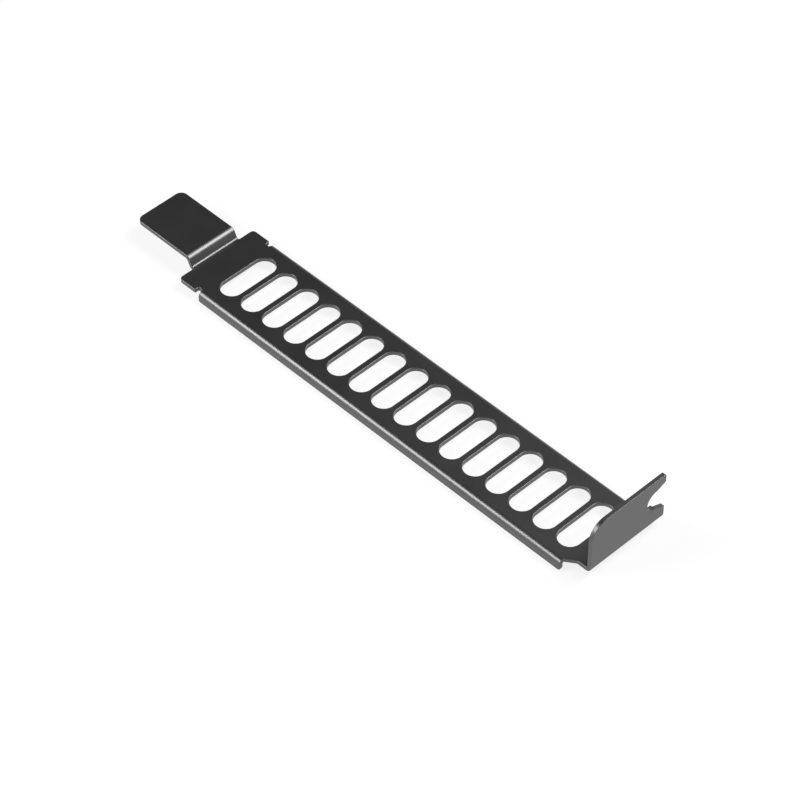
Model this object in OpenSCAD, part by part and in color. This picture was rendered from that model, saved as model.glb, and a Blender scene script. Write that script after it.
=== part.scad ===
// Vented slot cover bracket, folded from one piece of sheet steel.
// It lies on the lower edges of its side flanges, with its outer face up.
// +X runs to the mounting flange, +Y to the open side of the screw notch.

/* [Sheet] */
// Thickness of the sheet steel
sheet_t = 0.86; // [0.6:0.02:1.1]
// Inside radius of the bends to the mounting flange and the side flanges
bend_r = 0.25; // [0.15:0.05:0.5]

/* [Plate] */
// Length from the tip of the tongue to the outer face of the mounting flange
bracket_l = 120.02; // [70:0.01:160]
// Width over the side flanges
plate_w = 19.2; // [17:0.1:24]
// Height of the side flanges, from the outer face to their lower edges
side_h = 2.3; // [1.8:0.1:8]
// Radius on the lower corners of the side flanges
side_r = 0.4; // [0.2:0.05:0.6]
// Distance from the outer face of the mounting flange to the side flanges
neck_l = 5; // [4.5:0.1:10]
// Length of the flat shoulders, from the tongue to the side flanges
shoulder_l = 5.5; // [3:0.1:10]
// Width over the shoulders
shoulder_w = 18.9; // [17.5:0.1:24]
// Radius on the corners of the shoulders
shoulder_r = 0.8; // [0.3:0.1:2]
// Width of the relief cuts between the shoulders and the side flanges
relief_w = 1; // [0.5:0.1:2]

/* [Vents] */
// Width of each vent slot along the bracket
slot_w = 4.55; // [2.5:0.05:8]
// Width of the bars between the slots
bar_w = 1.26; // [0.6:0.02:4]
// Sheet left on each side of the slots, up to the faces of the side flanges
rail_w = 3.25; // [2.4:0.05:5]
// Distance of the row of slots from the middle of the side flanges
row_x = 0.3; // [-0.3:0.1:0.3]

/* [Tongue] */
// Length of the tongue, from its tip to the shoulders
tongue_l = 16.15; // [8:0.05:25]
// Width of the tongue
tongue_w = 11.5; // [6:0.1:14]
// Height of the tongue over the plate
tongue_rise = 2; // [1.7:0.1:4]
// Slope of the joggle between the plate and the tongue, in degrees
joggle_a = 65; // [50:1:70]
// Inside radius of the two bends of the joggle
joggle_r = 0.6; // [0.3:0.05:0.8]
// Radius on the corners of the tip
tip_r = 1.5; // [0.5:0.1:4]

/* [Mounting flange] */
// Height of the mounting flange over the plate
flange_h = 10.4; // [9.2:0.1:14]
// Width of the mounting flange
flange_w = 18.6; // [14:0.1:21]
// Distance that the mounting flange stands out past the far side of the plate
flange_over = 1.85; // [0.5:0.05:4]
// Radius on the upper corner of the mounting flange, on its closed side
flange_r = 3.6; // [1:0.1:6]
// Radius on the upper corner of the mounting flange, on its open side
prong_r = 0.5; // [0.2:0.1:1]
// Length of flat sheet behind the bend of the mounting flange, at its full width
root_l = 2; // [0.5:0.1:2.6]

/* [Screw notch] */
// Width of the notch at the screw
notch_w = 4.42; // [3:0.02:5]
// Width of the flared mouth of the notch
mouth_w = 6.2; // [5.2:0.1:7]
// Height of the screw's axis over the plate
notch_h = 5.4; // [4.6:0.1:5.8]
// Distance from the screw's axis to the open side of the mounting flange
notch_in = 2.3; // [1:0.1:6]

/* [Hidden] */
$fn = 96;
// Length by which a cutter stands clear of the sheet
clear = 1;
// Bends
bend_out = bend_r + sheet_t;
joggle_out = joggle_r + sheet_t;
joggle_mid = joggle_r + sheet_t / 2;
// Heights over the surface that the bracket lies on
plate_z = side_h;
tongue_z = plate_z + tongue_rise;
flange_z = plate_z + flange_h;
notch_z = plate_z + notch_h;
// Places along the bracket
tip_x = -bracket_l / 2;
face_x = bracket_l / 2;
plate_x = tip_x + tongue_l;
side_x0 = plate_x + shoulder_l;
side_x1 = face_x - neck_l;
root_x = face_x - bend_out - root_l;
// Places across the bracket, from the middle of the plate
half_w = plate_w / 2;
fold_y = half_w - bend_out;
flange_y1 = half_w + flange_over;
flange_y0 = flange_y1 - flange_w;
notch_y = flange_y1 - notch_in;
// Middle of the plate, with the whole bracket centred across
mid_y = -(min(-half_w, flange_y0) + max(half_w, flange_y1)) / 2;
// Straight length of the joggle's riser
riser_l = (tongue_rise - 2 * joggle_mid * (1 - cos(joggle_a))) / sin(joggle_a);
// Vent slots: as many as the length of the side flanges holds
side_l = side_x1 - side_x0;
slot_pitch = slot_w + bar_w;
slot_n = floor((side_l + bar_w) / slot_pitch);
slot_l = plate_w - 2 * rail_w;

// Rectangle between two opposite corners
module box2d(low, high) {
    translate(low) square(high - low);
}

// Cross-section of a bend of the given angle and inside radius, about its
// centre: the sheet comes in level from +X, under the centre, and turns up
module bend_section(angle, r) {
    reach = 2 * (r + sheet_t);
    intersection() {
        difference() {
            circle(r = r + sheet_t);
            circle(r = r);
        }
        box2d([-reach, -reach], [0, reach]);
        rotate(-angle) box2d([0, -reach], [reach, reach]);
    }
}

// What a radius takes off a corner that points to +X and +Y, about its centre
module corner_waste(r) {
    difference() {
        square(r + clear);
        circle(r = r);
    }
}

// Carries a section drawn in Y and Z along X
module along_x(x0, x1) {
    translate([x0, 0, 0]) rotate([90, 0, 90]) linear_extrude(x1 - x0) children();
}

// Carries a section drawn in X and Z across Y
module across_y(y0, y1) {
    translate([0, y1, 0]) rotate([90, 0, 0]) linear_extrude(y1 - y0) children();
}

// Side view of the joggle and the tongue, from the plate's end: the bends and
// the riser are carried on one another, each in the frame of the one before
module tongue_section() {
    translate([plate_x, plate_z + joggle_r]) {
        bend_section(joggle_a, joggle_r);
        rotate(-joggle_a) {
            box2d([-riser_l, -joggle_out], [0, -joggle_r]);
            translate([-riser_l, -2 * joggle_mid]) {
                mirror([0, 1]) bend_section(joggle_a, joggle_r);
                rotate(joggle_a) box2d([-tongue_l, joggle_r], [0, joggle_out]);
            }
        }
    }
}

// Side view of the strip: tongue, joggle, plate, bend and mounting flange
module strip_section() {
    tongue_section();
    box2d([plate_x, plate_z - sheet_t], [face_x - bend_out, plate_z]);
    translate([face_x - bend_out, plate_z + bend_r]) rotate(90) bend_section(90, bend_r);
    box2d([face_x - sheet_t, plate_z + bend_r], [face_x, flange_z]);
}

// Plan of the tongue, with its two round corners
module tongue_plan() {
    difference() {
        box2d([tip_x, -tongue_w / 2], [plate_x + clear, tongue_w / 2]);
        for (side = [0, 1])
            mirror([0, side])
                translate([tip_x + tip_r, tongue_w / 2 - tip_r])
                    rotate(90) corner_waste(tip_r);
    }
}

// Plan of the two flat shoulders, up to the relief cuts
module shoulder_plan() {
    difference() {
        box2d([plate_x, -shoulder_w / 2], [side_x0 - relief_w, shoulder_w / 2]);
        for (side = [0, 1])
            mirror([0, side])
                translate([plate_x + shoulder_r, shoulder_w / 2 - shoulder_r])
                    rotate(90) corner_waste(shoulder_r);
    }
}

// Plan of the neck, which narrows to the mounting flange on its closed side
// and widens to it in a step on its open side
module neck_plan() {
    polygon([[side_x1, -fold_y], [root_x, flange_y0], [root_x, fold_y], [side_x1, fold_y]]);
    box2d([root_x, flange_y0], [face_x, flange_y1]);
}

// Plan of the strip between its folds
module strip_plan() {
    tongue_plan();
    shoulder_plan();
    box2d([side_x0 - relief_w, -fold_y], [side_x1, fold_y]);
    neck_plan();
}

// What is cut off the mounting flange, drawn in Y and Z: its two upper
// corners and the screw notch with its flared mouth
module flange_waste() {
    translate([flange_y0 + flange_r, flange_z - flange_r]) rotate(90) corner_waste(flange_r);
    translate([flange_y1 - prong_r, flange_z - prong_r]) corner_waste(prong_r);
    translate([notch_y, notch_z]) {
        circle(r = notch_w / 2);
        polygon([
            [0, -notch_w / 2],
            [notch_in, -mouth_w / 2],
            [notch_in + clear, -mouth_w / 2],
            [notch_in + clear, mouth_w / 2],
            [notch_in, mouth_w / 2],
            [0, notch_w / 2]
        ]);
    }
}

// Side flange on the far side, folded down along the plate
module side_flange() {
    difference() {
        along_x(side_x0, side_x1) {
            translate([fold_y, plate_z - bend_out]) rotate(180) bend_section(90, bend_r);
            box2d([half_w - sheet_t, 0], [half_w, plate_z - bend_out]);
        }
        across_y(half_w - sheet_t - clear, half_w + clear) {
            translate([side_x1 - side_r, side_r]) rotate(-90) corner_waste(side_r);
            translate([side_x0 + side_r, side_r]) rotate(180) corner_waste(side_r);
        }
    }
}

// Row of stadium-shaped vent slots
module vent_slots() {
    first_x = (side_x0 + side_x1 - (slot_n - 1) * slot_pitch) / 2 + row_x;
    straight = slot_l - slot_w;
    for (i = [0 : slot_n - 1])
        translate([first_x + i * slot_pitch, 0, plate_z - sheet_t - clear])
            linear_extrude(sheet_t + 2 * clear) {
                square([slot_w, straight], center = true);
                for (end = [-1, 1])
                    translate([0, end * straight / 2]) circle(d = slot_w);
            }
}

// The whole bracket, one solid
module bracket() {
    color("#2b2a2b")
        translate([0, mid_y, 0])
            difference() {
                union() {
                    intersection() {
                        across_y(-half_w - clear, flange_y1 + clear) strip_section();
                        linear_extrude(flange_z + clear) strip_plan();
                    }
                    for (side = [0, 1]) mirror([0, side, 0]) side_flange();
                }
                vent_slots();
                along_x(face_x - sheet_t - clear, face_x + clear) flange_waste();
            }
}

bracket();
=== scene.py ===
# Vented slot cover bracket: one sheet of steel, punched flat, folded and coated black.
import math

import bmesh
import bpy
import numpy as np
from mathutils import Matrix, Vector, geometry


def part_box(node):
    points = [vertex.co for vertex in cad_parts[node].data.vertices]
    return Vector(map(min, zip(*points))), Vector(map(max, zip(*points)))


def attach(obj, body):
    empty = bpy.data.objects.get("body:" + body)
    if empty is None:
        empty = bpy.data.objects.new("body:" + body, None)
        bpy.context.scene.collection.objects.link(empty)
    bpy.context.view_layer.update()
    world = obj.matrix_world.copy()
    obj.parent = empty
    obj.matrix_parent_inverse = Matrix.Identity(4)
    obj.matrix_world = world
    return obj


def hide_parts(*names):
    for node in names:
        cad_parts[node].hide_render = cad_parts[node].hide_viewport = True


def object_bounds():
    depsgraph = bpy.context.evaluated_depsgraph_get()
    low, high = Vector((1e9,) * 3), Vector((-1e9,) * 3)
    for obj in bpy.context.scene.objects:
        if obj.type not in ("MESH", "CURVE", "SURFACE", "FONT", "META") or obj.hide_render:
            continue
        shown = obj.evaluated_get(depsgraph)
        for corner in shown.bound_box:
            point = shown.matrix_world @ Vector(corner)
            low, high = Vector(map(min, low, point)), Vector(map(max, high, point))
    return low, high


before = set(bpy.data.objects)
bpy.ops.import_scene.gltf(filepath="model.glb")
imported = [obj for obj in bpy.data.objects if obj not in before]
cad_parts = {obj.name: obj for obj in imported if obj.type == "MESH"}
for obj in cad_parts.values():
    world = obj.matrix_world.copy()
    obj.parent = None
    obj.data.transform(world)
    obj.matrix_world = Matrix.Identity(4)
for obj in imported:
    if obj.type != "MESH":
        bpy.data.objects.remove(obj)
cadLow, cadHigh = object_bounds()
mm = 0.001
tiny = 1e-6   # mm, below which two points are one


def linearColour(hexCode):
    # sRGB hex to the linear values that shaders take
    values = [int(hexCode[i:i + 2], 16) / 255 for i in (1, 3, 5)]
    return [v / 12.92 if v <= 0.04045 else ((v + 0.055) / 1.055) ** 2.4 for v in values] + [1]


def addNode(tree, kind, settings=None, links=None):
    # one node, with its settings by attribute or socket name, and what feeds its sockets
    node = tree.nodes.new(kind)
    for name, value in (settings or {}).items():
        if name in node.inputs:
            node.inputs[name].default_value = value
        else:
            setattr(node, name, value)
    for name, source in (links or {}).items():
        tree.links.new(source, node.inputs[name])
    return node


# the folded sheet
sheet = {
    "thick": 0.86,        # steel with its coat, mm
    "bendRadius": 0.25,   # inside of the bends to the flanges
    "joggleRadius": 0.6,  # inside of the two bends of the joggle
    "plateWidth": 19.2,   # over the side flanges
    "sideHeight": 2.3,    # outer face to the lower edges of the side flanges
    "sideRadius": 0.4,
    "neck": 5.0,          # mounting flange to side flanges
    "shoulder": 5.5,      # tongue to side flanges
    "shoulderWidth": 18.9,
    "shoulderRadius": 0.8,
    "relief": 1.0,        # cut between a shoulder and its side flange
    "slotWidth": 4.55,
    "barWidth": 1.26,
    "rail": 3.25,         # beside the slots, to the face of the side flange
    "rowShift": 0.3,      # of the slots from the middle of the side flanges
    "tongueLength": 16.15,
    "tongueWidth": 11.5,
    "tongueRise": 2.0,
    "joggleAngle": 65.0,
    "tipRadius": 1.5,
    "flangeHeight": 10.4,
    "flangeWidth": 18.6,
    "flangeOver": 1.85,
    "flangeRadius": 3.6,
    "prongRadius": 0.5,   # upper corner on the notch's side
    "root": 2.0,          # flat sheet behind the flange's bend, at its full width
    "rootRadius": 0.8,
    "notchWidth": 4.42,
    "mouthWidth": 6.2,
    "notchHeight": 5.4,   # plate to the screw's axis
    "notchInset": 2.3,    # screw's axis to the open side
    "cornerRadius": 0.2,  # punched corners that have no radius of their own
    "topRoll": 0.14,      # rounding of the punched edges on the outer face
    "underRoll": 0.07,    # and on the face that the punch left
    "rollSteps": 4,
    "arcStep": 6.0,       # degrees of arc between two points of the outline
    "bendSteps": 16,      # cuts across each bend
}


def walk(run, path):
    # Where a walk of length run gets along a path of (length, turn) pieces, and its heading a.
    # An arc of radius r = length / turn moves by r (sin(a + t) - sin a) forwards and
    # r (cos a - cos(a + t)) upwards, where t is the turn made so far.
    forward, up, heading = (np.zeros_like(run) for _ in range(3))
    done = 0.0
    for length, turn in path:
        gone = np.clip(run - done, 0, length)
        t = turn * gone / length
        if turn:
            radius = length / turn
            forward += radius * (np.sin(heading + t) - np.sin(heading))
            up += radius * (np.cos(heading) - np.cos(heading + t))
        else:
            forward += gone * np.cos(heading)
            up += gone * np.sin(heading)
        heading += t
        done += length
    return forward, up, heading


def unitRows(rows):
    return rows / np.linalg.norm(rows, axis=1, keepdims=True)


def roundedLoop(corners, arcStep):
    # A closed outline with each corner (u, v, radius) rounded by an arc that meets both sides:
    # the arc's centre is radius / sin(half the corner's angle) along the corner's bisector.
    table = np.array(corners, float)
    at, radius = table[:, :2], table[:, 2]
    back = unitRows(np.roll(at, 1, 0) - at)
    ahead = unitRows(np.roll(at, -1, 0) - at)
    half = np.arccos(np.clip((back * ahead).sum(1), -1, 1)) / 2
    centre = at + unitRows(back + ahead) * (radius / np.sin(half))[:, None]
    arm = (radius / np.tan(half))[:, None]
    start, end = at + back * arm - centre, at + ahead * arm - centre
    first = np.arctan2(start[:, 1], start[:, 0])
    sweep = (np.arctan2(end[:, 1], end[:, 0]) - first + np.pi) % (2 * np.pi) - np.pi
    arcs = []
    for i, r in enumerate(radius):
        count = max(2, math.ceil(math.degrees(abs(sweep[i])) / arcStep) + 1) if r else 1
        angles = first[i] + sweep[i] * np.linspace(0, 1, count)
        arcs.append(centre[i] + r * np.column_stack([np.cos(angles), np.sin(angles)]))
    points = np.concatenate(arcs)
    return points[np.linalg.norm(points - np.roll(points, 1, 0), axis=1) > tiny]


def insetLoop(points, inset):
    # Moves each point into the sheet: the sheet is on the left of the loop, and the miter of
    # the two side normals is (n1 + n2) / (1 + n1.n2)
    side = unitRows(np.roll(points, -1, 0) - points)
    normal = np.column_stack([-side[:, 1], side[:, 0]])
    before = np.roll(normal, 1, 0)
    miter = (normal + before) / (1 + (normal * before).sum(1))[:, None]
    return points + miter * inset


def edgeProfile(thick, topRoll, underRoll, steps):
    # (inset, height) down a punched edge, with a quarter circle at each face
    t = np.linspace(0, np.pi / 2, steps + 1)
    top = np.column_stack([topRoll * (1 - np.sin(t)), thick / 2 - topRoll * (1 - np.cos(t))])
    under = np.column_stack([underRoll * (1 - np.cos(t)), underRoll * (1 - np.sin(t)) - thick / 2])
    return np.concatenate([top, under])


def blankMesh(loops, profile):
    # Closed mesh of the flat blank: a band of quads down each loop, and one fill on each face
    points, faces, rims = [], [], []
    rows = len(profile)
    total = 0
    for loop in loops:
        count = len(loop)
        points += [np.column_stack([insetLoop(loop, inset), np.full(count, height)])
                   for inset, height in profile]
        i, j = np.meshgrid(np.arange(count), np.arange(rows - 1))
        ahead = (i + 1) % count
        quads = total + np.stack([j * count + i, (j + 1) * count + i,
                                  (j + 1) * count + ahead, j * count + ahead], axis=-1)
        faces += quads.reshape(-1, 4).tolist()
        rims.append(total + np.arange(count))
        total += rows * count
    points = np.concatenate(points)
    for row, flip in ((0, False), (rows - 1, True)):
        index = np.concatenate([rim + row * len(rim) for rim in rims])
        ends = np.cumsum([0] + [len(rim) for rim in rims]).tolist()
        shapes = [list(range(a, b)) for a, b in zip(ends, ends[1:])]
        flat = [Vector(p[:2]) for p in points[index]]
        # with the loops given as faces, output type 2 leaves the holes open
        _, _, triangles, origins, _, _ = geometry.delaunay_2d_cdt(flat, [], shapes, 2, tiny)
        source = index[[names[0] for names in origins]]
        fill = source[np.array(triangles)]
        faces += (fill[:, ::-1] if flip else fill).tolist()
    return points, faces


def bendPaths(size):
    # Each fold as (length, turn) pieces from its line: an arc has the sheet's mid radius, and
    # the joggle's riser makes up the height that its two arcs leave
    thick = size["thick"]
    turn = math.radians(size["joggleAngle"])
    joggleMid = size["joggleRadius"] + thick / 2
    riser = (size["tongueRise"] - 2 * joggleMid * (1 - math.cos(turn))) / math.sin(turn)
    joggleReach = 2 * joggleMid * math.sin(turn) + riser * math.cos(turn)
    arc = joggleMid * turn
    quarter = (size["bendRadius"] + thick / 2) * math.pi / 2
    tongue = [(arc, turn), (riser, 0), (arc, -turn), (size["tongueLength"] - joggleReach, 0)]
    flange = [(quarter, math.pi / 2), (size["flangeHeight"] - size["bendRadius"], 0)]
    side = [(quarter, -math.pi / 2), (size["sideHeight"] - size["bendRadius"] - thick, 0)]
    return tongue, flange, side


def pathLength(path):
    return sum(length for length, _ in path)


def cutBlank(points, faces, cuts):
    # The blank as a mesh, cut through at each (point, direction) so that it can bend there
    scratch = bpy.data.meshes.new("blank")
    scratch.from_pydata(points.tolist(), [], faces)
    blank = bmesh.new()
    blank.from_mesh(scratch)
    bpy.data.meshes.remove(scratch)
    for at, across in cuts:
        bmesh.ops.bisect_plane(blank, geom=blank.verts[:] + blank.edges[:] + blank.faces[:],
                               dist=tiny, plane_co=at, plane_no=across)
    bmesh.ops.triangulate(blank, faces=[f for f in blank.faces if len(f.verts) > 4])
    mesh = bpy.data.meshes.new("bracket_sheet")
    blank.to_mesh(mesh)
    blank.free()
    return mesh


def blankNormals(mesh, w, size):
    # Normals of the blank at height w. Upwards they are 1 on the outer face and -1 on the other,
    # and round an edge's rounding the cosine of the angle reached. The rest points sideways.
    normal = np.empty(len(mesh.vertices) * 3)
    mesh.vertices.foreach_get("normal", normal)
    normal = normal.reshape(-1, 3)
    face = size["thick"] / 2
    upward = (np.clip(1 - (face - w) / size["topRoll"], 0, 1)
              - np.clip(1 - (face + w) / size["underRoll"], 0, 1))
    spread = np.maximum(np.linalg.norm(normal[:, :2], axis=1), tiny)
    normal[:, :2] *= (np.sqrt(1 - upward ** 2) / spread)[:, None]
    normal[:, 2] = upward
    return normal


def foldPoints(flat, normal, folds):
    # A fold is (path, axis, line, way, area): what lies past its line on its axis, within its
    # area, goes along its path. A point at height w stays w off the sheet's mid surface, on its
    # normal, and its own normal turns by the path's heading.
    place, turned = flat.copy(), normal.copy()
    for path, axis, line, way, area in folds:
        run = way * (flat[:, axis] - line)
        mask = (run > 0) & area
        forward, up, heading = walk(run[mask], path)
        sine, cosine, w = np.sin(heading), np.cos(heading), flat[mask, 2]
        outward, upward = way * normal[mask, axis], normal[mask, 2]
        place[mask, axis] = line + way * (forward - w * sine)
        place[mask, 2] = up + w * cosine
        turned[mask, axis] = way * (outward * cosine - upward * sine)
        turned[mask, 2] = outward * sine + upward * cosine
    return place, turned


def foldedSheet(size, low, high):
    # The flat blank lies in (u, v): u is X on the plate, v is Y from the middle of the plate.
    # First the lines of its folds and the places along it.
    thick, bendOut = size["thick"], size["bendRadius"] + size["thick"]
    halfWidth, plateTop = size["plateWidth"] / 2, low.z + size["sideHeight"]
    tonguePath, flangePath, sidePath = bendPaths(size)
    plateU, bendU = low.x + size["tongueLength"], high.x - bendOut
    foldV = halfWidth - bendOut
    tipU, topU = plateU - pathLength(tonguePath), bendU + pathLength(flangePath)
    sideV, rootU = foldV + pathLength(sidePath), bendU - size["root"]
    sideU = plateU + size["shoulder"], high.x - size["neck"]
    reliefU = sideU[0] - size["relief"]
    flangeV = halfWidth + size["flangeOver"] - size["flangeWidth"], halfWidth + size["flangeOver"]
    notchU = topU - size["flangeHeight"] + size["notchHeight"]
    notchV, notchR = flangeV[1] - size["notchInset"], size["notchWidth"] / 2
    mouth, corner = size["mouthWidth"] / 2, size["cornerRadius"]

    # the blank's outline along its -v side, from the tip to the flange, then the flange
    flank = [(tipU, -size["tongueWidth"] / 2, size["tipRadius"]),
             (plateU, -size["tongueWidth"] / 2, corner),
             (plateU, -size["shoulderWidth"] / 2, size["shoulderRadius"]),
             (reliefU, -size["shoulderWidth"] / 2, corner),
             (reliefU, -foldV, corner),
             (sideU[0], -foldV, corner),
             (sideU[0], -sideV, size["sideRadius"]),
             (sideU[1], -sideV, size["sideRadius"]),
             (sideU[1], -foldV, corner)]
    flange = [(rootU, flangeV[0], size["rootRadius"]),
              (topU, flangeV[0], size["flangeRadius"]),
              (topU, flangeV[1], size["prongRadius"]),
              (notchU + mouth, flangeV[1], corner),
              (notchU + notchR, notchV, 0),
              (notchU + notchR, notchV - notchR, notchR),
              (notchU - notchR, notchV - notchR, notchR),
              (notchU - notchR, notchV, 0),
              (notchU - mouth, flangeV[1], corner),
              (rootU, flangeV[1], corner),
              (rootU, foldV, corner)]
    outline = flank + flange + [(u, -v, r) for u, v, r in reversed(flank)]

    # as many slots as the side flanges are long, centred along them
    pitch = size["slotWidth"] + size["barWidth"]
    count = int((sideU[1] - sideU[0] + size["barWidth"]) / pitch)
    across, half = halfWidth - size["rail"], size["slotWidth"] / 2
    centres = sum(sideU) / 2 + size["rowShift"] + (np.arange(count) - (count - 1) / 2) * pitch
    slots = [[(u - half, -across, half), (u - half, across, half),
              (u + half, across, half), (u + half, -across, half)] for u in centres]
    loops = [roundedLoop(corners, size["arcStep"]) for corners in [outline] + slots]
    profile = edgeProfile(thick, size["topRoll"], size["underRoll"], size["rollSteps"])
    points, faces = blankMesh(loops, profile)
    print("blank:", count, "slots,", len(points), "points,", len(faces), "faces")

    # cuts across the blank wherever it is about to bend
    (arc, _), (riser, _), _, _ = tonguePath
    quarter = flangePath[0][0]
    steps = np.linspace(0, 1, size["bendSteps"] + 1)
    cutsU = np.concatenate([plateU - arc * steps, plateU - arc - riser - arc * steps,
                            bendU + quarter * steps])
    cuts = [((u, 0, 0), (1, 0, 0)) for u in cutsU]
    cuts += [((0, way * v, 0), (0, 1, 0)) for v in foldV + quarter * steps for way in (-1, 1)]
    mesh = cutBlank(points, faces, cuts)

    # folding, with the whole bracket centred across
    flat = np.empty(len(mesh.vertices) * 3)
    mesh.vertices.foreach_get("co", flat)
    flat = flat.reshape(-1, 3)
    isSide = (flat[:, 0] > (reliefU + sideU[0]) / 2) & (flat[:, 0] < (sideU[1] + rootU) / 2)
    place, normal = foldPoints(flat, blankNormals(mesh, flat[:, 2], size), [
        (tonguePath, 0, plateU, -1, True),
        (flangePath, 0, bendU, 1, True),
        (sidePath, 1, foldV, 1, isSide),
        (sidePath, 1, -foldV, -1, isSide)])
    place += (0, (halfWidth - flangeV[1]) / 2, plateTop - thick / 2)
    mesh.vertices.foreach_set("co", (place * mm).ravel())
    mesh.polygons.foreach_set("use_smooth", np.ones(len(mesh.polygons), bool))
    mesh.normals_split_custom_set_from_vertices(normal.tolist())
    mesh.update()
    piece = bpy.data.objects.new("bracket_sheet", mesh)
    bpy.context.collection.objects.link(piece)
    return piece


cadBox = [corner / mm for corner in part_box("bracket")]
bracket = foldedSheet(sheet, *cadBox)
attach(bracket, "root")
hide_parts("bracket")
print("bracket:", len(bracket.data.polygons), "faces")


# its coat
coat = {
    "colour": "#121112",       # black, a little warm
    "paleColour": "#171617",   # where the coat lies thicker
    "cloud": 9.0,              # width of one patch of thicker coat, mm
    "cloudEdges": (0.35, 0.65),
    "ior": 1.95,               # above the 1.5 of plain enamel: the black pigment shines too
    "roughness": 0.38,
    "roughnessSpread": 0.05,
    "peel": 0.45,              # width of one bump of the orange peel, mm, coarser than
                               # the real 0.2 so that it shows
    "peelHeight": 0.003,       # mm
}


def coatMaterial(values):
    # Satin baked enamel: near-black, with a soft broad sheen that pales at the bends
    # and a fine orange peel that keeps the flat faces from looking like plastic film
    material = bpy.data.materials.new("satin_black_enamel")
    material.use_nodes = True
    tree = material.node_tree
    tree.nodes.clear()
    perMetre = 1 / mm
    place = addNode(tree, "ShaderNodeTexCoord").outputs["Object"]
    clouds = addNode(tree, "ShaderNodeTexNoise",
                     {"Scale": perMetre / values["cloud"], "Detail": 3.0}, {"Vector": place})
    peel = addNode(tree, "ShaderNodeTexNoise",
                   {"Scale": perMetre / values["peel"], "Detail": 2.0}, {"Vector": place})
    tint = addNode(tree, "ShaderNodeValToRGB", {}, {"Fac": clouds.outputs["Fac"]})
    colours = values["colour"], values["paleColour"]
    for stop, at, colour in zip(tint.color_ramp.elements, values["cloudEdges"], colours):
        stop.position, stop.color = at, linearColour(colour)
    rough = addNode(tree, "ShaderNodeMapRange", {
        "To Min": values["roughness"] - values["roughnessSpread"] / 2,
        "To Max": values["roughness"] + values["roughnessSpread"] / 2,
    }, {"Value": clouds.outputs["Fac"]})
    bump = addNode(tree, "ShaderNodeBump", {"Distance": values["peelHeight"] * mm},
                   {"Height": peel.outputs["Fac"]})
    surface = addNode(tree, "ShaderNodeBsdfPrincipled", {"IOR": values["ior"]}, {
        "Base Color": tint.outputs["Color"],
        "Roughness": rough.outputs["Result"],
        "Normal": bump.outputs["Normal"],
    })
    addNode(tree, "ShaderNodeOutputMaterial", links={"Surface": surface.outputs["BSDF"]})
    return material


bracket.data.materials.append(coatMaterial(coat))
print("coat:", bracket.data.materials[0].name)


# floor and light
studio = {
    "floorSide": 6.0,        # m
    "floorColour": "#e7e7e7",
    "floorOwnLight": 0.85,   # the white that the floor shows without its shadows
    # grey of the room by the height of the direction: 0 is the horizon, 1 is overhead
    "room": [(0.0, "#ffffff"), (0.15, "#e8e8e8"), (0.4, "#484848"), (1.0, "#303030")],
    # softboxes: direction from the bracket, distance and side in m, watts
    "right": {"direction": (0.32, 0.478, 0.815), "distance": 0.49, "side": 0.25, "watts": 2.75},
    "left": {"direction": (-0.5, -0.68, 0.54), "distance": 0.5, "side": 0.25, "watts": 2.35},
}


def floorMaterial(values):
    # White floor: lit as a plain pale floor, and shown as white to the camera and in
    # reflections, with only a part of its shading left so that shadows stay faint
    material = bpy.data.materials.new("white_floor")
    material.use_nodes = True
    tree = material.node_tree
    tree.nodes.clear()
    white = linearColour(values["floorColour"])
    plain = addNode(tree, "ShaderNodeBsdfDiffuse", {"Color": white})
    faint = addNode(tree, "ShaderNodeBsdfDiffuse",
                    {"Color": [c * (1 - values["floorOwnLight"]) for c in white[:3]] + [1]})
    own = addNode(tree, "ShaderNodeEmission", {"Strength": values["floorOwnLight"]})
    shown = addNode(tree, "ShaderNodeAddShader")
    tree.links.new(faint.outputs["BSDF"], shown.inputs[0])
    tree.links.new(own.outputs["Emission"], shown.inputs[1])
    path = addNode(tree, "ShaderNodeLightPath")
    seen = path.outputs["Is Camera Ray"]
    for kind in ("Is Glossy Ray", "Is Transmission Ray"):
        either = addNode(tree, "ShaderNodeMath", {"operation": "MAXIMUM"})
        tree.links.new(seen, either.inputs[0])
        tree.links.new(path.outputs[kind], either.inputs[1])
        seen = either.outputs[0]
    mix = addNode(tree, "ShaderNodeMixShader", links={"Fac": seen})
    tree.links.new(plain.outputs["BSDF"], mix.inputs[1])
    tree.links.new(shown.outputs[0], mix.inputs[2])
    addNode(tree, "ShaderNodeOutputMaterial", links={"Surface": mix.outputs[0]})
    return material


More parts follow.
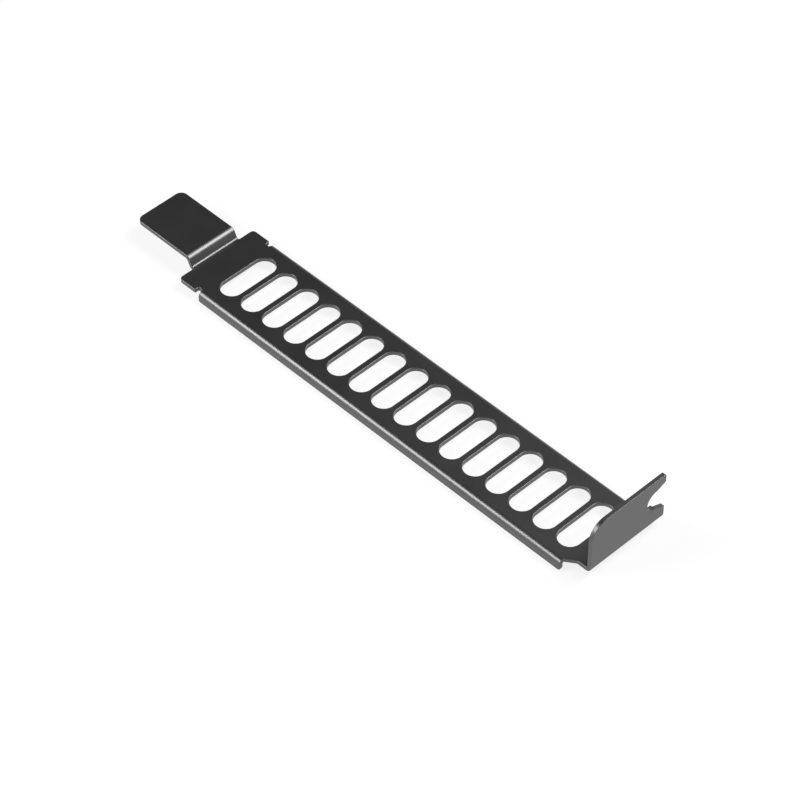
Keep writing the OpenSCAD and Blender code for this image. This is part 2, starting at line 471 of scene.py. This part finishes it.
def softbox(name, values):
    lamp = bpy.data.lights.new(name, "AREA")
    lamp.shape = "SQUARE"
    lamp.size = values["side"]
    lamp.energy = values["watts"]
    piece = bpy.data.objects.new(name, lamp)
    direction = Vector(values["direction"]).normalized()
    piece.location = direction * values["distance"]
    piece.rotation_euler = direction.to_track_quat("Z", "Y").to_euler()
    bpy.context.collection.objects.link(piece)


half = studio["floorSide"] / 2
floorMesh = bpy.data.meshes.new("floor")
floorMesh.from_pydata([(-half, -half, cadLow.z), (half, -half, cadLow.z),
                       (half, half, cadLow.z), (-half, half, cadLow.z)], [], [(0, 1, 2, 3)])
floor = bpy.data.objects.new("floor", floorMesh)
bpy.context.collection.objects.link(floor)
floorMesh.materials.append(floorMaterial(studio))

world = bpy.data.worlds.new("studio")
world.use_nodes = True
direction = addNode(world.node_tree, "ShaderNodeTexCoord").outputs["Generated"]
height = addNode(world.node_tree, "ShaderNodeSeparateXYZ", links={"Vector": direction})
room = addNode(world.node_tree, "ShaderNodeValToRGB", links={"Fac": height.outputs["Z"]})
while len(room.color_ramp.elements) < len(studio["room"]):
    room.color_ramp.elements.new(0.5)
for element, (at, grey) in zip(room.color_ramp.elements, studio["room"]):
    element.position, element.color = at, linearColour(grey)
world.node_tree.links.new(room.outputs["Color"],
                          world.node_tree.nodes["Background"].inputs["Color"])
bpy.context.scene.world = world
for side in ("right", "left"):
    softbox("softbox_" + side, studio[side])
print("studio: floor, room and 2 softboxes")

# the camera
shot = {
    "target": (7.90, -3.02, 2.3),    # mm
    "azimuth": -44.328,              # degrees from +X
    "elevation": 45.948,             # degrees over the floor
    "distance": 601.4,               # mm
    "lens": 149.68,                  # mm
    "clip": (0.01, 20),              # m
}
turn, lift = math.radians(shot["azimuth"]), math.radians(shot["elevation"])
towards = Vector((math.cos(lift) * math.cos(turn), math.cos(lift) * math.sin(turn), math.sin(lift)))
lens = bpy.data.cameras.new("camera")
lens.lens = shot["lens"]
lens.clip_start, lens.clip_end = shot["clip"]
camera = bpy.data.objects.new("camera", lens)
camera.location = (Vector(shot["target"]) + towards * shot["distance"]) * mm
camera.rotation_euler = towards.to_track_quat("Z", "Y").to_euler()
bpy.context.collection.objects.link(camera)
bpy.context.scene.camera = camera
bpy.context.scene.view_settings.view_transform = "Standard"
print("camera: done")
